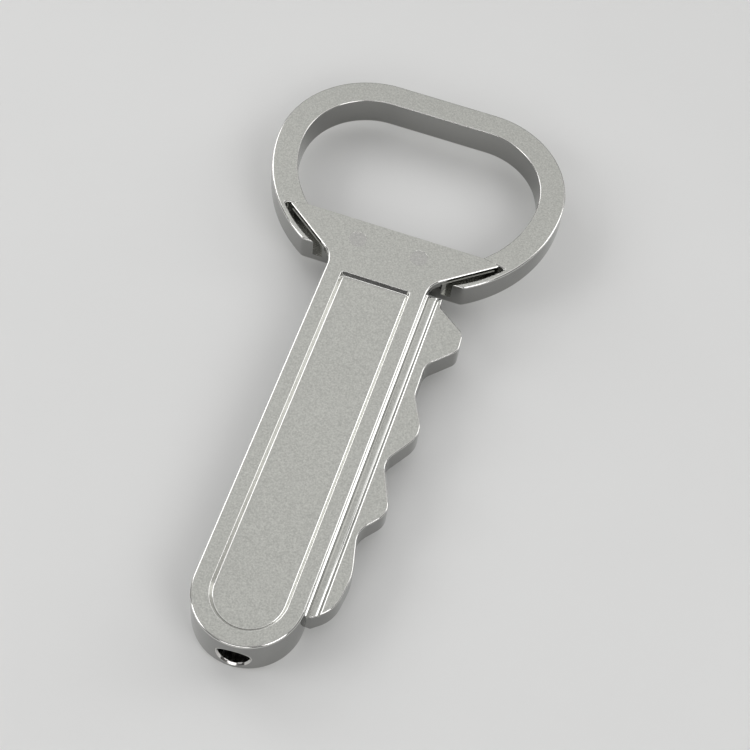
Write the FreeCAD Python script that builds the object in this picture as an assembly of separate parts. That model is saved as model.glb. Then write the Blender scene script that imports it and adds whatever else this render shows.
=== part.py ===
import FreeCAD, Part
import math
import os

# Key-shaped bottle opener, in millimetres. +Y points to the opener's head, +Z away from the
# face it lies on, and the origin is under the middle of the whole outline.

V = FreeCAD.Vector
UP = V(0, 0, 1)

# ---------------------------------------------------------------- driving dimensions
total_length = 93.4
half_length = total_length / 2
thickness = 7.5              # of the shaft, from the back cover to the front plate
shaft_width = 14.8
plate_thickness = 1.2        # front plate
plate_z = thickness - plate_thickness
fit_gap = 0.03               # hairline between cast parts that meet
notch_gap = 0.1              # play round the tongue in its notch
edge_radius = 0.3            # polished round on the outer edges
fine_radius = 0.15           # round on the small inner edges

# head hoop: a straight top, two upper arcs and two larger lower arcs, tangent to each other
hoop_thickness = 4.8
hoop_width = 43.8
hoop_upper_radius = 14.3
hoop_lower_radius = 21.4
hoop_band = 3.8              # wall at the top and the sides
mouth_lower_radius = 17.1    # the wall grows a little towards the neck
mouth_ridge = 0.12           # parting ridge half way down the mouth's wall
hoop_z = thickness - hoop_thickness
hoop_centre_y = half_length - hoop_upper_radius
hoop_arm_end_y = 14.4
hoop_arm_corner = 1.2        # round at the end of each arm
crossbar_top_y = 19.2
cap_lip_y = 20.45            # edge of the front plate that catches the cap
hoop_under_radius = 0.75     # larger round on the underside
arm_lip = 0.85               # width of each arm outside its slot
slot_floor_z = 4.4
slot_step = 0.12             # ledge of the crossbar that shows below the wing's edge
slot_end_radius = 0.35
tongue_width = 8.0
tongue_end_y = 8.0
tongue_thickness = 2.5

# front plate: shaft, neck and two wings that lie in the hoop's rebate
shaft_half = shaft_width / 2
tip_centre_y = shaft_half - half_length
wing_corner_x = 13.28
wing_tip = (15.9, 19.9)
wing_angle = 37.7            # of the wing's lower edge, from the X direction
neck_radius = 3.5
wing_tip_radius = 0.2
wing_thickness = 0.7         # the neck and wings are thinner than the shaft's plate
seat_z = thickness - wing_thickness
pocket_depth = 0.7
pocket_half = 5.1
pocket_x = 0.1               # its middle lies a little towards the blade
pocket_draft = 0.4           # run of the pocket's sloping wall
pocket_top_y = 11.15
pocket_end_y = -44.35
pocket_corner = 0.5
pocket_foot_radius = 0.25    # hollow round along the foot of the pocket's wall

# back cover: a tray that the front plate closes
wall = 1.2
floor = 1.2
cover_end_y = 14.35
tip_block_y = -41.0          # solid metal from here to the tip
cover_radius = 0.8
cavity_corner = 1.0

# key blade: bitted bar in the cover's right wall
blade_thickness = 3.75
blade_z = plate_z - blade_thickness
blade_root_x = 4.3
blade_root_top_y = 11.0
blade_root_end_y = -37.0
blade_top = (9.68, 12.3)
blade_end_y = -39.4
blade_end_x = 8.25
bit_outline = (              # corner x, corner y, rounding radius
    (9.75, 11.0, 0.8),
    (14.1, 7.8, 1.6),
    (14.3, 4.9, 1.8),
    (10.65, 1.1, 2.4),
    (10.77, -4.0, 2.5),
    (13.5, -9.5, 3.8),
    (9.98, -15.15, 2.6),
    (12.97, -22.2, 2.7),
    (9.9, -26.05, 3.1),
    (11.33, -32.3, 8.5),
    (10.7, -37.45, 4.7),
)
groove_width = 0.26
groove_depth = 0.6
groove_bevel = 0.25          # width of the bevel along both edges of a groove
groove_bevel_depth = 0.13
groove_offsets = (0.3, 1.6)  # centre lines, outwards from the plate's edge
blade_edge_radius = 0.2

# end hole and its bush
bush_x = 0.5
bush_z = 3.5
bush_outer_radius = 2.4
bush_bore_radius = 2.05
bush_length = 5.0
bush_chamfer = 0.25

# fasteners
rivet_places = ((-4.6, 17.1), (4.6, 17.1))
rivet_head_radius = 1.3
rivet_head_depth = 0.4
rivet_shank_radius = 0.9
boss_places = ((0.0, 10.6), (0.0, -12.5), (0.0, -35.0))
boss_radius = 2.0
boss_clearance = 0.05        # between the head-end boss and its hole in the tongue
boss_overlap = 0.3           # how far a boss runs into the metal that carries it
screw_radius = 1.0
screw_head_radius = 1.9
screw_head_depth = 0.9
screw_length = 4.6
screw_slot = (0.5, 0.45)     # width and depth of the driver slot
pin_places = ((5.3, 3.0), (5.3, -30.0))
pin_radius = 0.6
pin_depth_in_floor = 0.6
pad_radius = 1.0


# ---------------------------------------------------------------- helpers
def line(a, b):
    return Part.LineSegment(V(a[0], a[1], 0), V(b[0], b[1], 0)).toShape()


def arc(centre, radius, start, end):
    """Arc about centre between two angles in degrees, counter-clockwise from start to end."""
    circle = Part.Circle(V(centre[0], centre[1], 0), UP, radius)
    return Part.ArcOfCircle(circle, math.radians(start), math.radians(end)).toShape()


def wire_of(edges):
    return Part.Wire(Part.__sortEdges__(edges))


def solid_of(wire, z_low, z_high):
    face = Part.Face(wire)
    face.translate(V(0, 0, z_low))
    return face.extrude(V(0, 0, z_high - z_low))


def cylinder(x, y, radius, z_low, z_high):
    return Part.makeCylinder(radius, z_high - z_low, V(x, y, z_low))


def cone(x, y, radius_low, radius_high, z_low, z_high):
    return Part.makeCone(radius_low, radius_high, z_high - z_low, V(x, y, z_low))


def block(low, high):
    size = [b - a for a, b in zip(low, high)]
    return Part.makeBox(*size, V(*low))


def mirrored(shape):
    return shape.mirror(V(0, 0, 0), V(1, 0, 0))


def rounded_edges(corners):
    """Straight runs joined by tangent arcs. Each corner is (x, y, radius); the ends have no radius."""
    edges = []
    last = V(corners[0][0], corners[0][1], 0)
    for before, corner, after in zip(corners, corners[1:], corners[2:]):
        p = V(corner[0], corner[1], 0)
        to_before = (V(before[0], before[1], 0) - p).normalize()
        to_after = (V(after[0], after[1], 0) - p).normalize()
        half = to_before.getAngle(to_after) / 2
        reach = corner[2] / math.tan(half)
        start = p + to_before * reach
        end = p + to_after * reach
        middle = (to_before + to_after).normalize()
        top = p + middle * (corner[2] / math.sin(half) - corner[2])
        edges.append(Part.LineSegment(last, start).toShape())
        edges.append(Part.Arc(start, top, end).toShape())
        last = end
    edges.append(Part.LineSegment(last, V(corners[-1][0], corners[-1][1], 0)).toShape())
    return edges


def at_height(shape, z, keep=lambda p: True):
    """Edges of shape that lie flat at height z and whose middle point passes keep."""
    found = []
    for edge in shape.Edges:
        box = edge.BoundBox
        if abs(box.ZMin - z) > 1e-4 or abs(box.ZMax - z) > 1e-4:
            continue
        middle = edge.valueAt((edge.FirstParameter + edge.LastParameter) / 2)
        if keep(middle):
            found.append(edge)
    return found


def bar_wire(half_width, tip_y, top_y):
    """Outline of a bar along Y with a round end at tip_y."""
    centre_y = tip_y + half_width
    return wire_of([
        arc((0, centre_y), half_width, 180, 360),
        line((half_width, centre_y), (half_width, top_y)),
        line((half_width, top_y), (-half_width, top_y)),
        line((-half_width, top_y), (-half_width, centre_y)),
    ])


# ---------------------------------------------------------------- head hoop
upper_centre_x = hoop_width / 2 - hoop_upper_radius
lower_centre_x = hoop_width / 2 - hoop_lower_radius


def loop_wire(upper_radius, side_x, lower_radius, bottom_y):
    """Hoop-shaped outline: straight top, upper and lower arcs on each side, straight bottom."""
    top_y = hoop_centre_y + upper_radius
    low_x = side_x - lower_radius
    fall = math.degrees(math.asin((hoop_centre_y - bottom_y) / lower_radius))
    bottom_x = low_x + lower_radius * math.cos(math.radians(fall))
    return wire_of([
        line((-upper_centre_x, top_y), (upper_centre_x, top_y)),
        arc((upper_centre_x, hoop_centre_y), upper_radius, 0, 90),
        arc((low_x, hoop_centre_y), lower_radius, -fall, 0),
        line((bottom_x, bottom_y), (-bottom_x, bottom_y)),
        arc((-low_x, hoop_centre_y), lower_radius, 180, 180 + fall),
        arc((-upper_centre_x, hoop_centre_y), upper_radius, 90, 180),
    ])


def mouth_wire(inset, z):
    """The mouth's outline at height z, drawn in by inset from its widest."""
    wire = loop_wire(
        hoop_upper_radius - hoop_band - inset,
        hoop_width / 2 - hoop_band - inset,
        mouth_lower_radius - inset,
        crossbar_top_y + inset,
    )
    wire.translate(V(0, 0, z))
    return wire


def mouth_cut():
    middle = hoop_z + hoop_thickness / 2
    lower = Part.makeLoft([mouth_wire(0, hoop_z), mouth_wire(mouth_ridge, middle)], True, True)
    upper = Part.makeLoft([mouth_wire(mouth_ridge, middle), mouth_wire(0, thickness)], True, True)
    return [lower, upper]


def rebate():
    """Seat of the front plate's neck and wings, out to the lips of both arms."""
    lip_radius = hoop_lower_radius - arm_lip
    slope = (cap_lip_y - wing_tip[1]) / (wing_tip[0] - wing_corner_x)
    # where the seam line, carried on past the wing's tip, meets the lip
    x = wing_tip[0]
    for _ in range(40):
        y = cap_lip_y - (x - wing_corner_x) * slope
        x = lower_centre_x + math.sqrt(lip_radius ** 2 - (hoop_centre_y - y) ** 2)
    start = math.degrees(math.atan2(y - hoop_centre_y, x - lower_centre_x))
    stop = math.degrees(math.asin((hoop_arm_end_y - 1 - hoop_centre_y) / lip_radius))
    end_x = lower_centre_x + lip_radius * math.cos(math.radians(stop))
    end_y = hoop_centre_y + lip_radius * math.sin(math.radians(stop))
    right_arc = arc((lower_centre_x, hoop_centre_y), lip_radius, stop, start)
    corner = wing_corner_x + fit_gap
    edges = [
        line((-corner, cap_lip_y), (corner, cap_lip_y)),
        line((corner, cap_lip_y), (x, y)),
        right_arc,
        line((end_x, end_y), (-end_x, end_y)),
        mirrored(right_arc),
        line((-x, y), (-corner, cap_lip_y)),
    ]
    seat = solid_of(wire_of(edges), slot_floor_z, thickness + 1)
    ends = [e for e in seat.Edges if e.BoundBox.ZLength > 1 and abs(abs(e.BoundBox.XMin) - x) < 1e-3]
    return seat.makeFillet(slot_end_radius, ends)


def seat_and_slots():
    """The rebate, deep in the slots and shallow under the plate and its narrow ledge."""
    ledge = plate_outline().makeOffset2D(slot_step)
    return rebate().cut(solid_of(ledge, 0, seat_z))


def make_head_hoop():
    outline = loop_wire(hoop_upper_radius, hoop_width / 2, hoop_lower_radius, hoop_arm_end_y)
    hoop = solid_of(outline, hoop_z, thickness)
    uprights = [e for e in hoop.Edges if e.BoundBox.ZLength > 1 and e.BoundBox.YMax < hoop_arm_end_y + 0.1]
    hoop = hoop.makeFillet(hoop_arm_corner, uprights)
    hoop = hoop.makeFillet(edge_radius, at_height(hoop, thickness))
    hoop = hoop.makeFillet(hoop_under_radius, at_height(hoop, hoop_z))
    hoop = hoop.cut(mouth_cut())
    inner = at_height(hoop, thickness, lambda p: p.y > crossbar_top_y + 0.5 and inside_mouth(p))
    hoop = hoop.makeFillet(fine_radius, inner)
    hoop = hoop.cut(seat_and_slots())
    tongue = block(
        (-tongue_width / 2, tongue_end_y, plate_z - tongue_thickness),
        (tongue_width / 2, hoop_arm_end_y + 1, plate_z),
    )
    hoop = hoop.fuse(tongue).removeSplitter()
    x, y = boss_places[0]
    hoop = hoop.cut(cylinder(x, y, boss_radius + boss_clearance, hoop_z, plate_z))
    return hoop.cut([rivet(x, y) for x, y in rivet_places])


def inside_mouth(point):
    """True on the mouth's own rim, which is nearer the hoop's middle than its outline is."""
    reach = math.hypot(point.x, point.y - hoop_centre_y)
    return reach < hoop_width / 2 - hoop_band + 0.5 and point.y < half_length - hoop_band + 0.5


# ---------------------------------------------------------------- front plate
def plate_outline():
    """Shaft, neck and wings. The wing's lower edge runs into the shaft in a hollow arc."""
    rise = math.tan(math.radians(wing_angle))
    root_y = wing_tip[1] - (wing_tip[0] - shaft_half) * rise
    right = rounded_edges([
        (shaft_half, tip_centre_y),
        (shaft_half, root_y, neck_radius),
        (wing_tip[0], wing_tip[1], wing_tip_radius),
        (wing_corner_x, cap_lip_y - fit_gap),
    ])
    left = [mirrored(edge) for edge in right]
    across = line((wing_corner_x, cap_lip_y - fit_gap), (-wing_corner_x, cap_lip_y - fit_gap))
    tip = arc((0, tip_centre_y), shaft_half, 180, 360)
    return wire_of(right + left + [across, tip])


def pocket_wire(inset, z):
    half = pocket_half - inset
    centre_y = pocket_end_y + pocket_half
    top_y = pocket_top_y - inset
    edges = rounded_edges([
        (half, centre_y),
        (half, top_y, pocket_corner),
        (-half, top_y, pocket_corner),
        (-half, centre_y),
    ])
    wire = wire_of(edges + [arc((0, centre_y), half, 180, 360)])
    wire.translate(V(pocket_x, 0, z))
    return wire


def inside_pocket(point):
    return abs(point.x - pocket_x) < pocket_half + 0.01 and point.y < pocket_top_y + 0.01


def make_front_plate():
    plate = solid_of(plate_outline(), plate_z, thickness)
    above_hoop = block(
        (-hoop_width, hoop_arm_end_y - fit_gap, plate_z - 1), (hoop_width, half_length, seat_z))
    plate = plate.cut(above_hoop)
    seam_x = (wing_corner_x + wing_tip[0]) / 2

    def is_free(p):
        on_seam = abs(abs(p.x) - seam_x) < 0.5 and p.y > wing_tip[1]
        on_lip = p.y > cap_lip_y - 2 * fit_gap
        return not on_seam and not on_lip

    plate = plate.makeFillet(edge_radius, at_height(plate, thickness, is_free))
    floor_z = thickness - pocket_depth
    pocket = Part.makeLoft(
        [pocket_wire(pocket_draft, floor_z), pocket_wire(0, thickness)], True, True)
    plate = plate.cut(pocket)
    foot = at_height(plate, floor_z, inside_pocket)
    plate = plate.makeFillet(pocket_foot_radius, foot)
    rim = at_height(plate, thickness, inside_pocket)
    plate = plate.makeFillet(fine_radius, rim)
    bosses = [cylinder(x, y, boss_radius, floor, plate_z + boss_overlap) for x, y in boss_places]
    plate = plate.fuse(bosses).removeSplitter()
    pilots = [screw_shank(x, y) for x, y in boss_places]
    return plate.cut(pilots + [rivet(x, y) for x, y in rivet_places])


# ---------------------------------------------------------------- back cover
def bush_axis_cylinder(radius, y_low, y_high):
    return Part.makeCylinder(radius, y_high - y_low, V(bush_x, y_low, bush_z), V(0, 1, 0))


def make_back_cover():
    cover = solid_of(bar_wire(shaft_half, -half_length, cover_end_y), 0, plate_z)
    cover = cover.makeFillet(cover_radius, at_height(cover, 0))
    cavity = block(
        (-shaft_half + wall, tip_block_y, floor),
        (shaft_half - wall, cover_end_y - wall, plate_z + 1),
    )
    uprights = [e for e in cavity.Edges if e.BoundBox.ZLength > 1]
    cavity = cavity.makeFillet(cavity_corner, uprights)
    tongue_notch = block(
        (-tongue_width / 2 - notch_gap, cover_end_y - 2 * wall, plate_z - tongue_thickness - notch_gap),
        (tongue_width / 2 + notch_gap, cover_end_y + 1, plate_z + 1),
    )
    blade_notch = block(
        (shaft_half - 2 * wall, blade_end_y, blade_z),
        (shaft_half + 1, blade_top[1], plate_z + 1),
    )
    end_hole = bush_axis_cylinder(bush_outer_radius, -half_length - 1, tip_block_y + 1)
    cover = cover.cut([cavity, tongue_notch, blade_notch, end_hole])
    pads = [cylinder(x, y, pad_radius, floor - boss_overlap, blade_z) for x, y in pin_places]
    cover = cover.fuse(pads).removeSplitter()
    screws = [screw_cutter(x, y) for x, y in boss_places]
    return cover.cut(screws + [blade_pin(x, y) for x, y in pin_places])


# ---------------------------------------------------------------- key blade
def groove_wire(offset, width, z):
    """Outline of a strip of the given width that follows the plate's edge and its neck arc."""
    rise = math.tan(math.radians(wing_angle))
    root_y = wing_tip[1] - (wing_tip[0] - shaft_half) * rise
    reach = neck_radius * math.tan(math.radians(90 - wing_angle) / 2)
    centre = (shaft_half + neck_radius, root_y - reach)
    inner = neck_radius - offset + width / 2
    outer = neck_radius - offset - width / 2
    low_y = blade_end_y - 1
    wire = wire_of([
        line((centre[0] - inner, low_y), (centre[0] - inner, centre[1])),
        arc(centre, inner, 90, 180),
        line((centre[0], centre[1] + inner), (centre[0], centre[1] + outer)),
        arc(centre, outer, 90, 180),
        line((centre[0] - outer, centre[1]), (centre[0] - outer, low_y)),
        line((centre[0] - outer, low_y), (centre[0] - inner, low_y)),
    ])
    wire.translate(V(0, 0, z))
    return wire


def groove(offset):
    """Narrow groove in the blade's face, with a bevel along both edges."""
    narrow = groove_wire(offset, groove_width, 0)
    slot = solid_of(narrow, plate_z - groove_depth, plate_z)
    shoulder_z = plate_z - groove_bevel_depth
    wide = groove_width + 2 * groove_bevel
    bevel = Part.makeLoft(
        [groove_wire(offset, groove_width, shoulder_z), groove_wire(offset, wide, plate_z)], True, True)
    return slot.fuse(bevel)


def make_key_blade():
    wall_x = shaft_half - wall
    corners = [blade_top] + list(bit_outline) + [(blade_end_x, blade_end_y)]
    bits = rounded_edges(corners)
    closing = [
        line((blade_end_x, blade_end_y), (wall_x, blade_end_y)),
        line((wall_x, blade_end_y), (wall_x, blade_top[1])),
        line((wall_x, blade_top[1]), blade_top),
    ]
    blade = solid_of(wire_of(bits + closing), blade_z, plate_z)
    outer = at_height(blade, plate_z, lambda p: p.x > blade_end_x)
    outer += at_height(blade, blade_z, lambda p: p.x > blade_end_x)
    blade = blade.makeFillet(blade_edge_radius, outer)
    root = block(
        (blade_root_x, blade_root_end_y, blade_z), (wall_x, blade_root_top_y, plate_z))
    blade = blade.fuse(root).removeSplitter()
    blade = blade.cut([groove(offset) for offset in groove_offsets])
    return blade.cut([blade_pin(x, y) for x, y in pin_places])


# ---------------------------------------------------------------- small parts
def make_chain_bush():
    """Tube in the end hole, its outer end cut to the round of the tip and chamfered inside."""
    inner_end_y = bush_length - half_length
    tube = bush_axis_cylinder(bush_outer_radius, -half_length - 1, inner_end_y)
    tube = tube.common(cylinder(0, tip_centre_y, shaft_half, 0, thickness))
    tube = tube.cut(bush_axis_cylinder(bush_bore_radius, -half_length - 1, inner_end_y + 1))
    rim = [e for e in tube.Edges if e.BoundBox.YMax < 1 - half_length and is_bore_edge(e)]
    return tube.makeChamfer(bush_chamfer, rim)


def is_bore_edge(edge):
    return edge.BoundBox.XLength < bush_bore_radius + bush_outer_radius


def rivet(x, y):
    """Flat-headed rivet through the plate and the hoop's crossbar, flush at both ends."""
    shank = cylinder(x, y, rivet_shank_radius, hoop_z, thickness)
    head = cone(x, y, rivet_shank_radius, rivet_head_radius, thickness - rivet_head_depth, thickness)
    foot = cone(x, y, rivet_head_radius, rivet_shank_radius, hoop_z, hoop_z + rivet_head_depth)
    return shank.fuse([head, foot]).removeSplitter()


def screw_shank(x, y):
    return cylinder(x, y, screw_radius, 0, screw_length)


def screw_cutter(x, y):
    head = cone(x, y, screw_head_radius, screw_radius, 0, screw_head_depth)
    return screw_shank(x, y).fuse(head).removeSplitter()


def screw(x, y):
    width, depth = screw_slot
    slot = block(
        (x - screw_head_radius - 1, y - width / 2, -1), (x + screw_head_radius + 1, y + width / 2, depth))
    return screw_cutter(x, y).cut(slot)


def blade_pin(x, y):
    return cylinder(x, y, pin_radius, floor - pin_depth_in_floor, plate_z)


def group(shapes):
    return Part.makeCompound(shapes)


nodes = {
    "head_hoop": make_head_hoop(),
    "front_plate": make_front_plate(),
    "back_cover": make_back_cover(),
    "key_blade": make_key_blade(),
    "chain_bush": make_chain_bush(),
    "neck_rivets": group([rivet(x, y) for x, y in rivet_places]),
    "cover_screws": group([screw(x, y) for x, y in boss_places]),
    "blade_pins": group([blade_pin(x, y) for x, y in pin_places]),
}

os.makedirs("parts", exist_ok=True)
for name, shape in nodes.items():
    box = shape.BoundBox
    print(name, "solids", len(shape.Solids), "valid", shape.isValid(), "mm3", round(shape.Volume, 1),
          "box", [round(v, 2) for v in (box.XMin, box.YMin, box.ZMin, box.XMax, box.YMax, box.ZMax)])
    shape.exportStep("parts/" + name + ".step")
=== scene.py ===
import math

import bmesh
import bpy
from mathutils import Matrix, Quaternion, Vector


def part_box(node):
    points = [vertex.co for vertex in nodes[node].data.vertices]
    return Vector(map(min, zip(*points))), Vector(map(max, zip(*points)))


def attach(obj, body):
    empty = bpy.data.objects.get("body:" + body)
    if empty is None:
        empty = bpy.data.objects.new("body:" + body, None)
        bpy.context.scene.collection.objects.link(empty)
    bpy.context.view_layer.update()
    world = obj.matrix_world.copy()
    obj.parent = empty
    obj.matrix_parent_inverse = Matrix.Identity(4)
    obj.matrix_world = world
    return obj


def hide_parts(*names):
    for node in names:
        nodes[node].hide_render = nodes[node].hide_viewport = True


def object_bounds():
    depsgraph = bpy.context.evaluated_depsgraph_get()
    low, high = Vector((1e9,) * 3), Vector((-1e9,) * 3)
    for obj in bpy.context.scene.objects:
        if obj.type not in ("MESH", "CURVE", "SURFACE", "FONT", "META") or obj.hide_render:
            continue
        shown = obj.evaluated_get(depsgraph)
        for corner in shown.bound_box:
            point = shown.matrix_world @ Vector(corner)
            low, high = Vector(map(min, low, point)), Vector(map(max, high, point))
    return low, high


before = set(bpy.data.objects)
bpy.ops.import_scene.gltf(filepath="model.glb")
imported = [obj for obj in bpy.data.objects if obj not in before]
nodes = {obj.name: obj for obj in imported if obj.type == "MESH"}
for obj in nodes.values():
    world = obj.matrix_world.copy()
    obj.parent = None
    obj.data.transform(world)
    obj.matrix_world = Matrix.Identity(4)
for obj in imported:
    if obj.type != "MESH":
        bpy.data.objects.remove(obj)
cad_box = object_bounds()

MM = 0.001
WELD = 0.0008 * MM           # points closer than this are one point
UP = Vector((0, 0, 1))


def box_mm(node):
    """Lowest and highest corner of a CAD node, in millimetres."""
    return [corner / MM for corner in map(Vector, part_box(node))]


# ---------------------------------------------------------------- sizes in millimetres
HOOP_LOW, HOOP_HIGH = box_mm("head_hoop")
PLATE_LOW, PLATE_HIGH = box_mm("front_plate")
COVER_LOW, COVER_HIGH = box_mm("back_cover")
BLADE_LOW, BLADE_HIGH = box_mm("key_blade")
BUSH_LOW, BUSH_HIGH = box_mm("chain_bush")

TOP_Z = PLATE_HIGH.z
PLATE_Z = COVER_HIGH.z
TIP_Y = PLATE_LOW.y
SHAFT_HALF = COVER_HIGH.x
TIP_CENTRE_Y = TIP_Y + SHAFT_HALF
EDGE_ROUND = 0.3
FINE_ROUND = 0.15
FIT_GAP = 0.03               # between faces that slide together
PAST = 1.0                   # how far a cutter runs past the metal

HOOP_UPPER_RADIUS = 14.3
HOOP_LOWER_RADIUS = 21.4
HOOP_CENTRE_Y = HOOP_HIGH.y - HOOP_UPPER_RADIUS
HOOP_BAND = 3.8
MOUTH_LOWER_RADIUS = 17.1
ARM_END_Y = 14.4
ARM_CORNER = 1.2
LIP_ROUND = 0.25             # on the inner rim of the lips
CROSSBAR_TOP_Y = 19.2
UNDER_ROUND = 0.75
MOUTH_FOOT_ROUND = 0.4
MOUTH_RIDGE = 0.12           # parting ridge half way down the mouth's wall
LIP_RADIUS = 20.55           # inner side of the thin lips outside the slots
SLOT_FLOOR_Z = 4.4
SLOT_END_RADIUS = 0.35
SLOT_LEDGE = 0.12            # left standing beside the wing
SLOT_UNDERCUT = 0.6          # how far a slot reaches in from the wing's tip
SLOT_MOUTH = 0.55            # how far its cutter runs past the arm's end
TONGUE = ((-4.0, 8.0, 3.8), (4.0, 15.4, 6.3))

WING_CORNER = (13.28, 20.42)
WING_TIP = (15.9, 19.9)
WING_ANGLE = 37.7            # of the wing's lower edge, from the X direction
WING_Z = TOP_Z - 0.7
WING_GAP = 0.02
NECK_RADIUS = 3.5
SEAM = 0.012                 # half of the seam's width

POCKET_HALF = 5.1
POCKET_X = 0.1               # its middle lies a little towards the blade
POCKET_TOP_Y = 11.15
POCKET_END_Y = -44.35
POCKET_DEPTH = 0.7
POCKET_DRAFT = 0.4           # run of the pocket's wall
POCKET_FLOOR_ROUND = 0.25
POCKET_CORNER = 0.5

COVER_WALL = 1.2
COVER_UNDER_ROUND = 0.8
COVER_CORNER = 1.0
TIP_BLOCK = 5.7              # solid metal round the end hole
NOTCH_GAP = 0.1

BUSH_X = (BUSH_LOW.x + BUSH_HIGH.x) / 2
BUSH_Z = (BUSH_LOW.z + BUSH_HIGH.z) / 2
BUSH_RADIUS = (BUSH_HIGH.x - BUSH_LOW.x) / 2
BUSH_BORE = 2.05

BLADE_TOP = (9.68, 12.3)
BLADE_END_X = 8.25
BLADE_ROUND = 0.2
ROOT_LOW_Y, ROOT_HIGH_Y = -37.0, 11.0
BITS = (                     # corner x, corner y, rounding radius
    (9.75, 11.0, 0.8), (14.1, 7.8, 1.6), (14.3, 4.9, 1.8), (10.65, 1.1, 2.4), (10.77, -4.0, 2.5),
    (13.5, -9.5, 3.8), (9.98, -15.15, 2.6), (12.97, -22.2, 2.7), (9.9, -26.05, 3.1), (11.33, -32.3, 8.5),
    (10.7, -37.45, 4.7),
)
GROOVE_OFFSETS = (0.3, 1.6)
GROOVE_HALF = 0.13
GROOVE_DEPTH = 0.6
GROOVE_BEVEL = (0.25, 0.13)  # width and depth of the bevel along both edges

SCREW_PLACES = ((0.0, 10.6), (0.0, -12.5), (0.0, -35.0))
SCREW_RADIUS = 1.0
SCREW_HEAD = 1.9
SCREW_SINK = 0.9
SCREW_LENGTH = 4.6
SCREW_GAP = 0.01
DRIVER_SLOT = (0.25, 0.45)   # half of its width, and its depth
POST_RADIUS = 2.0
POST_GAP = 0.05
POST_CUT_TOP = 10.0          # of the cutter for the post's hole in the tongue
RIVET_PLACES = ((-4.6, 17.1), (4.6, 17.1))
RIVET_HEAD = 1.3
RIVET_SHANK = 0.9
RIVET_SINK = 0.4
RIVET_GAP = 0.005


# ---------------------------------------------------------------- outlines
def arc_points(centre, radius, start, end, step=2.5):
    """Points round an arc between two angles in degrees, both ends included."""
    count = max(2, math.ceil(abs(end - start) / step))
    angles = [math.radians(start + (end - start) * i / count) for i in range(count + 1)]
    return [(centre[0] + radius * math.cos(a), centre[1] + radius * math.sin(a)) for a in angles]


def mirror_x(points):
    return [(-p[0], *p[1:]) for p in reversed(points)]


def outline(corners, inset=0.0, step=7.5):
    """Closed counter-clockwise loop whose corners are (x, y) or (x, y, radius), drawn in by inset."""
    least_radius, least_gap = 0.004, 1e-4
    spots = [Vector(c[:2]) for c in corners]
    ways = [(after - here).normalized() for here, after in zip(spots, spots[1:] + spots[:1])]
    moved, radii, turns = [], [], []
    for i, here in enumerate(spots):
        before, after = ways[i - 1], ways[i]
        n1, n2 = Vector((-before.y, before.x)), Vector((-after.y, after.x))
        moved.append(here + (n1 + n2) * inset / (1 + n1.dot(n2)))
        turn = math.atan2(before.cross(after), before.dot(after))
        radius = corners[i][2] if len(corners[i]) > 2 else 0.0
        radii.append(max(radius - math.copysign(inset, turn), least_radius) if radius else 0.0)
        turns.append(turn)
    loop = []
    for i, corner in enumerate(moved):
        if not radii[i]:
            loop.append(corner)
            continue
        turn, radius = turns[i], radii[i]
        reach = radius * math.tan(abs(turn) / 2)
        start = corner - ways[i - 1] * reach
        side = math.copysign(1, turn)
        centre = start + Vector((-ways[i - 1].y, ways[i - 1].x)) * radius * side
        spoke = start - centre
        count = max(2, math.ceil(math.degrees(abs(turn)) / step))
        for k in range(count + 1):
            angle = turn * k / count
            c, s = math.cos(angle), math.sin(angle)
            loop.append(centre + Vector((c * spoke.x - s * spoke.y, s * spoke.x + c * spoke.y)))
    return [p for p, q in zip(loop, loop[1:] + loop[:1]) if (p - q).length > least_gap]


def hoop_corners():
    """Outer outline of the ring: a tight arc over a wider one, down to the end of each arm."""
    upper_x = HOOP_HIGH.x - HOOP_UPPER_RADIUS
    lower_x = HOOP_HIGH.x - HOOP_LOWER_RADIUS
    fall = math.degrees(math.asin((HOOP_CENTRE_Y - ARM_END_Y) / HOOP_LOWER_RADIUS))
    lower = arc_points((lower_x, HOOP_CENTRE_Y), HOOP_LOWER_RADIUS, -fall, 0)
    upper = arc_points((upper_x, HOOP_CENTRE_Y), HOOP_UPPER_RADIUS, 0, 90, step=3)
    right = [(*lower[0], ARM_CORNER)] + lower[1:] + upper[1:]
    return right + mirror_x(right)


def mouth_corners():
    """Inner outline of the ring, down to the crossbar."""
    upper_radius = HOOP_UPPER_RADIUS - HOOP_BAND
    upper_x = HOOP_HIGH.x - HOOP_UPPER_RADIUS
    lower_x = HOOP_HIGH.x - HOOP_BAND - MOUTH_LOWER_RADIUS
    fall = math.degrees(math.asin((HOOP_CENTRE_Y - CROSSBAR_TOP_Y) / MOUTH_LOWER_RADIUS))
    lower = arc_points((lower_x, HOOP_CENTRE_Y), MOUTH_LOWER_RADIUS, -fall, 0)
    upper = arc_points((upper_x, HOOP_CENTRE_Y), upper_radius, 0, 90, step=3)
    right = lower + upper[1:]
    return right + mirror_x(right)


def wing_line(x, offset=0.0):
    """Height of the wing's lower edge at x, moved outwards by offset."""
    rise = math.radians(WING_ANGLE)
    return WING_TIP[1] - (WING_TIP[0] - x) * math.tan(rise) - offset / math.cos(rise)


def neck_corners(offset, far_x):
    """The right neck and the wing's lower edge out to far_x, both moved outwards by offset."""
    x = SHAFT_HALF + offset
    return [(x, wing_line(x, offset), NECK_RADIUS - offset), (far_x, wing_line(far_x, offset))]


def seam_end():
    """Where the seam line, carried on past the wing's tip, meets the lip."""
    centre_x = HOOP_HIGH.x - HOOP_LOWER_RADIUS
    x, y = WING_TIP
    for _ in range(40):      # each round brings the point closer to the crossing
        y = seam_y(x)
        x = centre_x + math.sqrt(LIP_RADIUS ** 2 - (HOOP_CENTRE_Y - y) ** 2)
    return x, y


def seam_y(x):
    """Height at x of the seam between the wing's end and the ring."""
    slope = (WING_CORNER[1] - WING_TIP[1]) / (WING_TIP[0] - WING_CORNER[0])
    return WING_CORNER[1] - (x - WING_CORNER[0]) * slope


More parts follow.
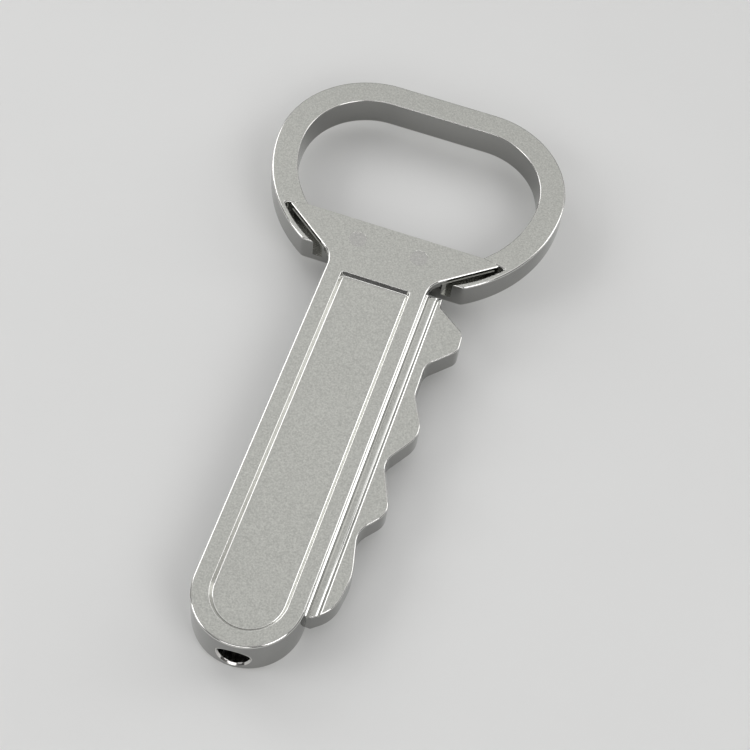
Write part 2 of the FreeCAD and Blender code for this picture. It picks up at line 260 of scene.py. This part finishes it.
# ---------------------------------------------------------------- solids
def rounded_profile(corners):
    """Points of an open profile. Each corner is (inset, z) or (inset, z, radius)."""
    steps = 5
    points = [Vector(corners[0][:2])]
    for before, here, after in zip(corners, corners[1:], corners[2:]):
        corner = Vector(here[:2])
        if len(here) < 3:
            points.append(corner)
            continue
        to_before = (Vector(before[:2]) - corner).normalized()
        to_after = (Vector(after[:2]) - corner).normalized()
        half = to_before.angle(to_after) / 2
        centre = corner + (to_before + to_after).normalized() * (here[2] / math.sin(half))
        start = corner + to_before * (here[2] / math.tan(half)) - centre
        end = corner + to_after * (here[2] / math.tan(half)) - centre
        first = math.atan2(start.y, start.x)
        turn = math.atan2(start.cross(end), start.dot(end))
        for k in range(steps + 1):
            angle = first + turn * k / steps
            points.append(centre + here[2] * Vector((math.cos(angle), math.sin(angle))))
    points.append(Vector(corners[-1][:2]))
    return [(p.x, p.y) for p in points]


def tidy_mesh(mesh):
    """Merge points that coincide, drop faces with no area and turn every normal outwards."""
    work = bmesh.new()
    work.from_mesh(mesh)
    bmesh.ops.remove_doubles(work, verts=work.verts, dist=WELD)
    bmesh.ops.dissolve_degenerate(work, edges=work.edges, dist=WELD)
    loose = [edge for edge in work.edges if not edge.link_faces]
    bmesh.ops.delete(work, geom=loose, context="EDGES")
    bmesh.ops.recalc_face_normals(work, faces=work.faces)
    work.to_mesh(mesh)
    work.free()


def new_object(name, points, faces):
    """Object from points in millimetres."""
    mesh = bpy.data.meshes.new(name)
    mesh.from_pydata([(x * MM, y * MM, z * MM) for x, y, z in points], [], faces)
    thing = bpy.data.objects.new(name, mesh)
    bpy.context.scene.collection.objects.link(thing)
    return thing


def slab(name, corners, levels, step=7.5):
    """Closed solid through an outline. Each level, from the lowest up, is (inset, z)."""
    loops = [outline(corners, inset, step) for inset, z in levels]
    count = len(loops[0])
    points = [(p.x, p.y, z) for loop, (inset, z) in zip(loops, levels) for p in loop]
    faces = [tuple(reversed(range(count)))]
    for level in range(len(levels) - 1):
        a, b = level * count, (level + 1) * count
        faces += [(a + i, a + (i + 1) % count, b + (i + 1) % count, b + i) for i in range(count)]
    faces.append(tuple(range((len(levels) - 1) * count, len(levels) * count)))
    return new_object(name, points, faces)


def turned(name, profile, place, axis="Z", segments=48):
    """Solid turned about an axis through place. The profile is (radius, height), closed by itself."""
    points, faces = [], []
    count = len(profile)
    for k in range(segments):
        angle = 2 * math.pi * k / segments
        c, s = math.cos(angle), math.sin(angle)
        for radius, height in profile:
            on_z, on_y = (radius * c, radius * s, height), (radius * c, height, -radius * s)
            spot = on_z if axis == "Z" else on_y
            points.append(tuple(a + b for a, b in zip(spot, place)))
    for k in range(segments):
        a, b = k * count, ((k + 1) % segments) * count
        faces += [(a + i, b + i, b + (i + 1) % count, a + (i + 1) % count) for i in range(count)]
    thing = new_object(name, points, faces)
    tidy_mesh(thing.data)
    return thing


def block(name, low, high):
    """Box between two corners."""
    corners = [(low[0], low[1]), (high[0], low[1]), (high[0], high[1]), (low[0], high[1])]
    return slab(name, corners, [(0, low[2]), (0, high[2])])


def combine(target, other, operation="DIFFERENCE"):
    """Exact boolean of target with other, which is used up."""
    modifier = target.modifiers.new("cut", "BOOLEAN")
    modifier.operation = operation
    modifier.solver = "EXACT"
    modifier.object = other
    graph = bpy.context.evaluated_depsgraph_get()
    mesh = bpy.data.meshes.new_from_object(target.evaluated_get(graph))
    target.modifiers.remove(modifier)
    old = target.data
    target.data = mesh
    bpy.data.meshes.remove(old)
    spent = other.data
    bpy.data.objects.remove(other)
    bpy.data.meshes.remove(spent)
    return target


def shade(mesh):
    """Smooth normals: at each corner, the mean by area of the faces that turn little from its own."""
    most_turn = 32           # degrees
    meeting = [[] for _ in mesh.vertices]
    for face in mesh.polygons:
        face.use_smooth = True
        for vertex in face.vertices:
            meeting[vertex].append((face.normal.copy(), face.area))
    near = math.cos(math.radians(most_turn))
    normals = []
    for face in mesh.polygons:
        own = face.normal
        for vertex in face.vertices:
            alike = [normal * area for normal, area in meeting[vertex] if normal.dot(own) > near]
            total = sum(alike, Vector())
            normals.append(total.normalized() if total.length > 0 else own.copy())
    mesh.normals_split_custom_set(normals)


def finish_piece(piece, node, material):
    """Clean the mesh, shade it, and put it in place of its CAD node."""
    tidy_mesh(piece.data)
    piece.data.materials.clear()
    piece.data.materials.append(material)
    shade(piece.data)
    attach(piece, "root")
    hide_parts(node)


def level_round(z, radius, rising=True, steps=5):
    """Levels of a quarter round: rising, it draws in up to height z; otherwise it spreads from z up."""
    angles = [math.pi / 2 * k / steps for k in range(steps + 1)]
    if rising:
        return [(radius * (1 - math.cos(a)), z - radius * (1 - math.sin(a))) for a in angles]
    return [(radius * (1 - math.sin(a)), z + radius * (1 - math.cos(a))) for a in angles]


def flared(levels):
    """The same levels for a cutter, which leaves the round on the metal around it."""
    return [(-inset, z) for inset, z in levels]


# ---------------------------------------------------------------- head hoop
def slot_cutter(side):
    """Open slot beside a wing, with a small round on the lip's rim."""
    centre = (HOOP_HIGH.x - HOOP_LOWER_RADIUS, HOOP_CENTRE_Y)
    end = seam_end()
    low_y = ARM_END_Y - SLOT_MOUTH
    start = math.degrees(math.asin((low_y - centre[1]) / LIP_RADIUS))
    stop = math.degrees(math.atan2(end[1] - centre[1], end[0] - centre[0]))
    lip = arc_points(centre, LIP_RADIUS, start, stop, step=2)
    under_x = WING_TIP[0] - SLOT_UNDERCUT
    low_x = WING_TIP[0] - (wing_line(WING_TIP[0], SLOT_LEDGE) - low_y) / math.tan(math.radians(WING_ANGLE))
    corners = lip[:-1] + [(*end, SLOT_END_RADIUS), (under_x, seam_y(under_x)),
                          (under_x, wing_line(under_x, SLOT_LEDGE)), (low_x, low_y)]
    if side < 0:
        corners = mirror_x(corners)
    rim = flared(level_round(TOP_Z, LIP_ROUND))
    return slab("slot", corners, [(0, SLOT_FLOOR_Z)] + rim + [(-LIP_ROUND, TOP_Z + PAST)])


def rivet_hole(place):
    """Cutter for a hole countersunk at both ends."""
    low, high = HOOP_LOW.z, TOP_Z
    head, shank = RIVET_HEAD + RIVET_GAP, RIVET_SHANK + RIVET_GAP
    profile = [(0, low - PAST), (head, low - PAST), (head, low), (shank, low + RIVET_SINK),
               (shank, high - RIVET_SINK), (head, high), (head, high + PAST), (0, high + PAST)]
    return turned("hole", profile, (*place, 0))


def make_hoop():
    low = level_round(HOOP_LOW.z, UNDER_ROUND, rising=False, steps=7)
    hoop = slab("hoop", hoop_corners(), low + level_round(TOP_Z, EDGE_ROUND))
    foot = flared(level_round(HOOP_LOW.z, MOUTH_FOOT_ROUND, rising=False))
    ridge = [(MOUTH_RIDGE, (HOOP_LOW.z + TOP_Z) / 2)]
    rim = flared(level_round(TOP_Z, FINE_ROUND))
    below, above = [(-MOUTH_FOOT_ROUND, HOOP_LOW.z - PAST)], [(-FINE_ROUND, TOP_Z + PAST)]
    combine(hoop, slab("mouth", mouth_corners(), below + foot + ridge + rim + above))
    reach, gap = WING_TIP[0] + WING_GAP, SLOT_LEDGE + FIT_GAP
    right = [(SHAFT_HALF + gap, ARM_END_Y - 2 * PAST)] + neck_corners(gap, reach)
    right += [(reach, seam_y(reach) + SEAM), (WING_CORNER[0], WING_CORNER[1] + SEAM)]
    combine(hoop, slab("seat", right + mirror_x(right), [(0, WING_Z), (0, TOP_Z + PAST)]))
    for side in (1, -1):
        combine(hoop, slot_cutter(side))
    combine(hoop, block("tongue", *TONGUE), "UNION")
    wide, high = POST_RADIUS + POST_GAP, POST_CUT_TOP
    combine(hoop, turned("hole", [(0, 0), (wide, 0), (wide, high), (0, high)], (*SCREW_PLACES[0], 0)))
    for place in RIVET_PLACES:
        combine(hoop, rivet_hole(place))
    return hoop


def paint_slot_shade(mesh, material):
    """Give the inside of both slots a darker colour than the faces round them: painted shade for the dark
    down in the slots.
    """
    mesh.materials.append(material)
    low_z, high_z = SLOT_FLOOR_Z - 0.1, TOP_Z - 0.05
    for face in mesh.polygons:
        x, y, z = face.center / MM
        reach = math.hypot(abs(x) - (HOOP_HIGH.x - HOOP_LOWER_RADIUS), y - HOOP_CENTRE_Y)
        if reach < LIP_RADIUS + 0.1 and y < wing_line(abs(x)) and low_z < z < high_z:
            face.material_index = len(mesh.materials) - 1


# ---------------------------------------------------------------- front plate
def tip_corners(half, tip_y):
    """Lower end of a bar of that half width, rounded to a half circle."""
    return [(-half, tip_y, half), (half, tip_y, half)]


def pocket_cutter():
    bottom = TOP_Z - POCKET_DEPTH
    wall = [(POCKET_DRAFT + 0.3, bottom), (POCKET_DRAFT, bottom, POCKET_FLOOR_ROUND),
            (0, TOP_Z, FINE_ROUND), (-PAST, TOP_Z)]
    levels = rounded_profile(wall)[1:-1]
    corners = tip_corners(POCKET_HALF, POCKET_END_Y) + [
        (POCKET_HALF, POCKET_TOP_Y, POCKET_CORNER), (-POCKET_HALF, POCKET_TOP_Y, POCKET_CORNER)]
    corners = [(corner[0] + POCKET_X, *corner[1:]) for corner in corners]
    return slab("pocket", corners, levels + [(levels[-1][0], TOP_Z + PAST)], step=5)


def make_plate():
    """Plate cut from a larger blank, which is trimmed along the cap lip and the seams."""
    blank_x, blank_y = WING_TIP[0] + 2, WING_TIP[1] + 3
    right = neck_corners(0, blank_x) + [(blank_x, blank_y)]
    plate = slab("plate", tip_corners(SHAFT_HALF, TIP_Y) + right + mirror_x(right),
                 [(0, PLATE_Z)] + level_round(TOP_Z, EDGE_ROUND), step=5)
    trim = [(PLATE_HIGH.x, TIP_Y - PAST), (PLATE_HIGH.x, seam_y(PLATE_HIGH.x) - SEAM),
            (WING_CORNER[0], WING_CORNER[1] - SEAM)]
    trim_levels = [(0, PLATE_Z - PAST), (0, TOP_Z + PAST)]
    combine(plate, slab("trim", trim + mirror_x(trim), trim_levels), "INTERSECT")
    under_low, under_high = (-HOOP_HIGH.x, ARM_END_Y - FIT_GAP, 0), (HOOP_HIGH.x, HOOP_HIGH.y, WING_Z)
    combine(plate, block("under", under_low, under_high))
    combine(plate, pocket_cutter())
    post_low, post_high = PLATE_LOW.z, PLATE_Z + 0.1
    post = [(SCREW_RADIUS, post_low), (POST_RADIUS, post_low), (POST_RADIUS, post_high),
            (SCREW_RADIUS, post_high)]
    for place in SCREW_PLACES:
        combine(plate, turned("boss", post, (*place, 0)), "UNION")
    for place in RIVET_PLACES:
        combine(plate, rivet_hole(place))
    return plate


# ---------------------------------------------------------------- back cover
def make_cover():
    """Tray with notches for the tongue and the blade's root, an end hole and three screw holes."""
    bar = tip_corners(SHAFT_HALF, TIP_Y) + [(SHAFT_HALF, COVER_HIGH.y), (-SHAFT_HALF, COVER_HIGH.y)]
    levels = level_round(0, COVER_UNDER_ROUND, rising=False, steps=7) + [(0, PLATE_Z)]
    cover = slab("cover", bar, levels, step=5)
    over_z = PLATE_Z + PAST
    x, low_y, high_y = SHAFT_HALF - COVER_WALL, TIP_Y + TIP_BLOCK, COVER_HIGH.y - COVER_WALL
    cavity = [(*corner, COVER_CORNER) for corner in ((-x, low_y), (x, low_y), (x, high_y), (-x, high_y))]
    combine(cover, slab("cavity", cavity, [(0, COVER_WALL), (0, over_z)]))
    tongue_x, tongue_z = TONGUE[1][0] + NOTCH_GAP, TONGUE[0][2] - NOTCH_GAP
    combine(cover, block("notch", (-tongue_x, high_y - COVER_WALL, tongue_z),
                         (tongue_x, COVER_HIGH.y + PAST, over_z)))
    combine(cover, block("notch", (x - COVER_WALL, BLADE_LOW.y, BLADE_LOW.z),
                         (SHAFT_HALF + PAST, BLADE_HIGH.y, over_z)))
    bore = [(0, TIP_Y - PAST), (BUSH_RADIUS, TIP_Y - PAST), (BUSH_RADIUS, low_y + PAST), (0, low_y + PAST)]
    combine(cover, turned("end_hole", bore, (BUSH_X, 0, BUSH_Z), axis="Y", segments=64))
    head, shank = SCREW_HEAD + SCREW_GAP, SCREW_RADIUS + SCREW_GAP
    hole = [(0, -PAST), (head, -PAST), (head, 0), (shank, SCREW_SINK), (shank, 2 * PAST), (0, 2 * PAST)]
    for place in SCREW_PLACES:
        combine(cover, turned("hole", hole, (*place, 0)))
    return cover


# ---------------------------------------------------------------- key blade
def groove_cutter(offset):
    """Strip that follows the plate's edge and neck arc, with a bevel along both edges."""
    reach = NECK_RADIUS * math.tan(math.radians(90 - WING_ANGLE) / 2)
    centre = (SHAFT_HALF + NECK_RADIUS, wing_line(SHAFT_HALF) - reach)
    inner = NECK_RADIUS - offset + GROOVE_HALF
    outer = NECK_RADIUS - offset - GROOVE_HALF
    low_y = BLADE_LOW.y - PAST
    corners = [(centre[0] - outer, low_y)] + arc_points(centre, outer, 180, 90, step=5)
    corners += arc_points(centre, inner, 90, 180, step=5) + [(centre[0] - inner, low_y)]
    top = BLADE_HIGH.z
    wide, deep = GROOVE_BEVEL
    levels = [(0, top - GROOVE_DEPTH), (0, top - deep), (-wide, top), (-wide, top + PAST)]
    return slab("groove", corners, levels)


def make_blade():
    """Bitted bar with a narrower root that reaches into the cover."""
    wall_x = SHAFT_HALF - COVER_WALL
    root = [(BLADE_LOW.x, ROOT_LOW_Y), (wall_x, ROOT_LOW_Y), (wall_x, BLADE_LOW.y),
            (BLADE_END_X, BLADE_LOW.y)]
    top = [BLADE_TOP, (wall_x, BLADE_TOP[1]), (wall_x, ROOT_HIGH_Y), (BLADE_LOW.x, ROOT_HIGH_Y)]
    levels = level_round(BLADE_LOW.z, BLADE_ROUND, rising=False) + level_round(BLADE_HIGH.z, BLADE_ROUND)
    blade = slab("blade", root + list(reversed(BITS)) + top, levels, step=6)
    for offset in GROOVE_OFFSETS:
        combine(blade, groove_cutter(offset))
    return blade


# ---------------------------------------------------------------- small parts
def make_bush():
    """Short tube whose outer end follows the round of the tip, with a chamfered mouth."""
    segments = 96
    bore, rim = BUSH_BORE, BUSH_RADIUS
    length = BUSH_HIGH.y - BUSH_LOW.y
    # radius, and depth below the surface of the tip
    profile = [(bore, length), (bore, 0.33), (bore + 0.03, 0.26), (bore + 0.2, 0.06), (bore + 0.24, 0.01),
               (rim - 0.05, 0.0), (rim - 0.01, 0.02), (rim, 0.07), (rim, length)]
    points, faces = [], []
    count = len(profile)
    for k in range(segments):
        c, s = math.cos(2 * math.pi * k / segments), math.sin(2 * math.pi * k / segments)
        for radius, depth in profile:
            x = BUSH_X + radius * c
            tip_y = TIP_CENTRE_Y - math.sqrt(SHAFT_HALF ** 2 - x ** 2)
            y = BUSH_HIGH.y if depth == length else tip_y + depth
            points.append((x, y, BUSH_Z + radius * s))
        a, b = k * count, (k + 1) % segments * count
        faces += [(a + i, b + i, b + (i + 1) % count, a + (i + 1) % count) for i in range(count)]
    return new_object("bush", points, faces)


def join(name, things):
    """One object of several meshes."""
    work = bmesh.new()
    for thing in things:
        work.from_mesh(thing.data)
        spent = thing.data
        bpy.data.objects.remove(thing)
        bpy.data.meshes.remove(spent)
    mesh = bpy.data.meshes.new(name)
    work.to_mesh(mesh)
    work.free()
    piece = bpy.data.objects.new(name, mesh)
    bpy.context.scene.collection.objects.link(piece)
    return piece


def make_rivets():
    """Flush rivets with a very small bevel round their front faces."""
    low, high, bevel = HOOP_LOW.z, TOP_Z, RIVET_GAP
    profile = [(0, low), (RIVET_HEAD, low), (RIVET_SHANK, low + RIVET_SINK), (RIVET_SHANK, high - RIVET_SINK),
               (RIVET_HEAD - bevel, high - bevel), (RIVET_HEAD - 3 * bevel, high), (0, high)]
    return join("rivets", [turned("rivet", profile, (*place, 0)) for place in RIVET_PLACES])


def make_screws():
    """Countersunk screws. Their heads are hollow by a few hundredths, with rounded rims."""
    point = 0.1
    profile = [(0, 0.04), (1.2, 0.03), (SCREW_HEAD - 0.18, 0.0), (SCREW_HEAD - 0.06, 0.01),
               (SCREW_HEAD - 0.02, 0.05), (SCREW_RADIUS, SCREW_SINK), (SCREW_RADIUS, SCREW_LENGTH - point),
               (SCREW_RADIUS - point, SCREW_LENGTH), (0, SCREW_LENGTH)]
    half, depth = DRIVER_SLOT
    reach = SCREW_HEAD + PAST
    screws = []
    for x, y in SCREW_PLACES:
        screw = turned("screw", profile, (x, y, 0))
        combine(screw, block("driver_slot", (x - reach, y - half, -PAST), (x + reach, y + half, depth)))
        screws.append(screw)
    return join("screws", screws)


# ---------------------------------------------------------------- shader helpers
class Tree:
    """A material's node tree, with one short call per node."""

    def __init__(self, name):
        self.material = bpy.data.materials.new(name)
        self.material.use_nodes = True
        self.nodes = self.material.node_tree.nodes
        self.links = self.material.node_tree.links
        self.nodes.clear()
        self.shader = self.add("ShaderNodeBsdfPrincipled")
        output = self.add("ShaderNodeOutputMaterial")
        self.link(self.shader.outputs["BSDF"], output.inputs["Surface"])

    def add(self, kind, **settings):
        node = self.nodes.new(kind)
        for key, value in settings.items():
            setattr(node, key, value)
        return node

    def link(self, source, target):
        self.links.new(source, target)

    def place(self):
        """Position on the object in millimetres."""
        coordinate = self.add("ShaderNodeTexCoord")
        mapping = self.add("ShaderNodeMapping")
        mapping.inputs["Scale"].default_value = [1 / MM] * 3
        self.link(coordinate.outputs["Object"], mapping.inputs["Vector"])
        return mapping.outputs["Vector"]

    def noise(self, vector, scale, detail, roughness):
        """Soft random pattern, near 0.5 on average, with scale waves to the millimetre."""
        node = self.add("ShaderNodeTexNoise")
        node.inputs["Scale"].default_value = scale
        node.inputs["Detail"].default_value = detail
        node.inputs["Roughness"].default_value = roughness
        self.link(vector, node.inputs["Vector"])
        return node.outputs["Fac"]

    def ramp(self, value, low, high, out_low, out_high, smooth=True):
        """Map low..high to out_low..out_high, and hold the ends."""
        node = self.add("ShaderNodeMapRange")
        node.interpolation_type = "SMOOTHSTEP" if smooth else "LINEAR"
        for key, number in zip(("From Min", "From Max", "To Min", "To Max"), (low, high, out_low, out_high)):
            node.inputs[key].default_value = number
        self.link(value, node.inputs["Value"])
        return node.outputs["Result"]

    def math(self, operation, a, b):
        """Sum, product or the like of two numbers."""
        node = self.add("ShaderNodeMath", operation=operation)
        for socket, value in zip(node.inputs, (a, b)):
            if isinstance(value, (int, float)):
                socket.default_value = value
            else:
                self.link(value, socket)
        return node.outputs["Value"]

    def mix(self, factor, a, b):
        """Blend of two numbers."""
        node = self.add("ShaderNodeMix")
        for key, value in (("Factor", factor), ("A", a), ("B", b)):
            if isinstance(value, (int, float)):
                node.inputs[key].default_value = value
            else:
                self.link(value, node.inputs[key])
        return node.outputs["Result"]

    def mix_colour(self, factor, a, b):
        """Blend of two colours."""
        node = self.add("ShaderNodeMix", data_type="RGBA")
        sockets = {"Factor": node.inputs[0], "A": node.inputs[6], "B": node.inputs[7]}
        for key, value in (("Factor", factor), ("A", a), ("B", b)):
            if isinstance(value, (int, float)):
                sockets[key].default_value = value
            elif isinstance(value, tuple):
                sockets[key].default_value = (*value, 1)
            else:
                self.link(value, sockets[key])
        return node.outputs[2]

    def bump(self, height, distance, strength):
        """Fine relief of that height."""
        node = self.add("ShaderNodeBump")
        node.inputs["Distance"].default_value = distance
        node.inputs["Strength"].default_value = strength
        self.link(height, node.inputs["Height"])
        return node.outputs["Normal"]

    def upright(self):
        """How far a face looks straight up or down: 1 on flat faces, 0 on walls."""
        geometry = self.add("ShaderNodeNewGeometry")
        split = self.add("ShaderNodeSeparateXYZ")
        self.link(geometry.outputs["Normal"], split.inputs["Vector"])
        return self.math("ABSOLUTE", split.outputs["Z"], 0.0)


# ---------------------------------------------------------------- materials
SATIN = (0.61, 0.612, 0.577)
RIVET_SATIN = (0.57, 0.565, 0.545)
POLISHED = (0.86, 0.855, 0.83)
# Painted shade: the darker colour given to upright walls, for the dark surroundings they reflect.
WALL_PAINTED_SHADE = (0.31, 0.31, 0.30)
# Painted shade: darker colour for the inside of the slots beside the wings.
SLOT_PAINTED_SHADE = (0.38, 0.38, 0.36)
BUSH = (0.78, 0.77, 0.75)
ZINC = (0.66, 0.66, 0.67)
STEEL = (0.6, 0.6, 0.6)
FLOOR_DARK, FLOOR_LIGHT = (0.78, 0.78, 0.775), (0.82, 0.82, 0.815)
GRAIN_SHARE = 0.86           # of the satin's tone. The rest is the broad cloud
GRAIN_DARK = 0.68            # the grain's darkest tone, as a part of the lightest


def satin_nickel(name, colour=SATIN, roughness=0.42):
    """Fine-blasted nickel on the flat faces and polished nickel on the edges. The walls get a darker colour,
    painted shade for the dark they reflect.
    """
    tree = Tree(name)
    spot = tree.place()
    upright = tree.upright()
    flat = tree.ramp(upright, 0.955, 0.997, 0.0, 1.0)    # 1 on faces within 4 degrees of level
    wall = tree.ramp(upright, 0.05, 0.45, 1.0, 0.0)      # 1 on faces within 3 degrees of upright
    grain = tree.noise(spot, 4.5, 3.0, 0.7)
    cloud = tree.noise(spot, 0.16, 3.0, 0.5)
    fine, broad = tree.math("MULTIPLY", grain, GRAIN_SHARE), tree.math("MULTIPLY", cloud, 1 - GRAIN_SHARE)
    tone = tree.ramp(tree.math("ADD", fine, broad), 0.35, 0.65, 0.0, 1.0, smooth=False)
    satin_colour = tree.mix_colour(tone, tuple(GRAIN_DARK * c for c in colour), colour)
    # Upright walls get the darker wall colour instead of the polished one: painted shade for the dark they
    # reflect.
    polish_and_painted_wall_shade = tree.mix_colour(wall, POLISHED, WALL_PAINTED_SHADE)
    tree.link(tree.mix_colour(flat, polish_and_painted_wall_shade, satin_colour), tree.shader.inputs["Base Color"])
    tree.shader.inputs["Metallic"].default_value = 1.0
    rough_satin = tree.ramp(cloud, 0.3, 0.7, roughness - 0.04, roughness + 0.05, smooth=False)
    rough_wall = tree.ramp(cloud, 0.3, 0.7, 0.09, 0.16, smooth=False)
    tree.link(tree.mix(flat, rough_wall, rough_satin), tree.shader.inputs["Roughness"])
    height = tree.mix(flat, tree.math("MULTIPLY", cloud, 0.5), grain)
    tree.link(tree.bump(height, 0.02 * MM, 0.8), tree.shader.inputs["Normal"])
    return tree.material


def polished_metal(name, colour, roughness):
    """Smooth metal with a faint cloud in its tone and roughness."""
    tree = Tree(name)
    spot = tree.place()
    cloud = tree.noise(spot, 0.9, 3.0, 0.55)
    darker = tuple(0.9 * c for c in colour)
    tree.link(tree.mix_colour(cloud, darker, colour), tree.shader.inputs["Base Color"])
    tree.shader.inputs["Metallic"].default_value = 1.0
    tree.link(tree.ramp(cloud, 0.3, 0.7, roughness * 0.7, roughness * 1.3), tree.shader.inputs["Roughness"])
    tree.link(tree.bump(cloud, 0.004 * MM, 0.5), tree.shader.inputs["Normal"])
    return tree.material


def floor_material():
    tree = Tree("pale_floor")
    spot = tree.place()
    cloud = tree.noise(spot, 0.02, 4.0, 0.6)
    tree.link(tree.mix_colour(cloud, FLOOR_DARK, FLOOR_LIGHT), tree.shader.inputs["Base Color"])
    tree.shader.inputs["Roughness"].default_value = 0.85
    return tree.material


# ---------------------------------------------------------------- the object's pieces
satin = satin_nickel("satin_nickel")
hoop = make_hoop()
finish_piece(hoop, "head_hoop", satin)
# Painted shade inside both slots.
paint_slot_shade(hoop.data, polished_metal("slot_painted_shade", SLOT_PAINTED_SHADE, 0.22))
finish_piece(make_plate(), "front_plate", satin)
finish_piece(make_cover(), "back_cover", satin)
finish_piece(make_blade(), "key_blade", satin)
finish_piece(make_bush(), "chain_bush", polished_metal("polished_nickel", BUSH, 0.12))
finish_piece(make_rivets(), "neck_rivets", satin_nickel("rivet_nickel", RIVET_SATIN, 0.40))
finish_piece(make_screws(), "cover_screws", polished_metal("zinc_steel", ZINC, 0.28))
nodes["blade_pins"].material_slots[0].material = polished_metal("ground_steel", STEEL, 0.3)


# ---------------------------------------------------------------- floor, light and camera
# Name, azimuth and elevation in degrees, distance and size in metres, power in watts.
LIGHTS = (
    ("overhead", 183, 58, 0.7, (1.0, 0.75), 1.5),
    ("back_left", -120, 29, 0.5, (0.24, 0.28), 0.45),
    ("back_right", 124, 26, 0.5, (0.22, 0.28), 0.34),
    ("front_left", -66, 34, 0.5, (0.22, 0.24), 0.5),
    ("front_right", 57, 42, 0.5, (0.22, 0.26), 0.5),
    ("front", 0, 34, 0.5, (0.3, 0.14), 0.25),
)
WORLD_STRENGTH = 0.42
FLOOR_HALF = 1.2
CAMERA_TARGET = Vector((4.62, -2.74, 6.0)) * MM
CAMERA_AZIMUTH, CAMERA_ELEVATION, CAMERA_ROLL = 11.42, 58.37, 7.95
CAMERA_DISTANCE = 218.8 * MM
CAMERA_LENS, CAMERA_SENSOR = 76.8, 36.0


def make_floor():
    """Square under the object, at its lowest point."""
    mesh = bpy.data.meshes.new("floor")
    signs = ((-1, -1), (1, -1), (1, 1), (-1, 1))
    corners = [(FLOOR_HALF * i, FLOOR_HALF * j, cad_box[0].z) for i, j in signs]
    mesh.from_pydata(corners, [], [(0, 1, 2, 3)])
    floor = bpy.data.objects.new("floor", mesh)
    bpy.context.scene.collection.objects.link(floor)
    floor.data.materials.append(floor_material())


def aim(thing, target, roll=0.0):
    """Turn a light or camera to look at target."""
    back = (thing.location - target).normalized()
    thing.rotation_mode = "QUATERNION"
    thing.rotation_quaternion = back.to_track_quat("Z", "Y") @ Quaternion(UP, roll)


def around(target, azimuth, elevation, distance):
    """Point at that distance from target. Azimuth 0 is in front, at -Y, and 90 is at +X."""
    a, e = math.radians(azimuth), math.radians(elevation)
    return target + distance * Vector((math.sin(a) * math.cos(e), -math.cos(a) * math.cos(e), math.sin(e)))


def make_light(name, azimuth, elevation, distance, size, power):
    """Softbox that looks at the middle of the object's front."""
    light = bpy.data.lights.new(name, "AREA")
    light.shape = "RECTANGLE"
    light.size, light.size_y = size
    light.energy = power
    thing = bpy.data.objects.new(name, light)
    bpy.context.scene.collection.objects.link(thing)
    target = Vector((0, 0, cad_box[1].z))
    thing.location = around(target, azimuth, elevation, distance)
    aim(thing, target)


def make_world():
    """Soft studio surround: darker near the horizon, lighter overhead."""
    world = bpy.data.worlds.new("studio")
    world.use_nodes = True
    bpy.context.scene.world = world
    tree = world.node_tree
    background = tree.nodes["Background"]
    coordinate = tree.nodes.new("ShaderNodeTexCoord")
    split = tree.nodes.new("ShaderNodeSeparateXYZ")
    ramp = tree.nodes.new("ShaderNodeValToRGB")
    ramp.color_ramp.elements[0].position = 0.0
    ramp.color_ramp.elements[0].color = (0.12, 0.12, 0.12, 1)
    ramp.color_ramp.elements[1].position = 0.9
    ramp.color_ramp.elements[1].color = (0.75, 0.75, 0.74, 1)
    tree.links.new(coordinate.outputs["Generated"], split.inputs["Vector"])
    tree.links.new(split.outputs["Z"], ramp.inputs["Fac"])
    tree.links.new(ramp.outputs["Color"], background.inputs["Color"])
    background.inputs["Strength"].default_value = WORLD_STRENGTH


def make_camera():
    camera = bpy.data.objects.new("camera", bpy.data.cameras.new("camera"))
    bpy.context.scene.collection.objects.link(camera)
    camera.data.sensor_width = CAMERA_SENSOR
    camera.data.lens = CAMERA_LENS
    camera.data.clip_start = 0.01
    camera.location = around(CAMERA_TARGET, CAMERA_AZIMUTH, CAMERA_ELEVATION, CAMERA_DISTANCE)
    aim(camera, CAMERA_TARGET, math.radians(CAMERA_ROLL))
    bpy.context.scene.camera = camera


make_floor()
make_world()
for row in LIGHTS:
    make_light(*row)
make_camera()
bpy.context.scene.view_settings.view_transform = "Standard"
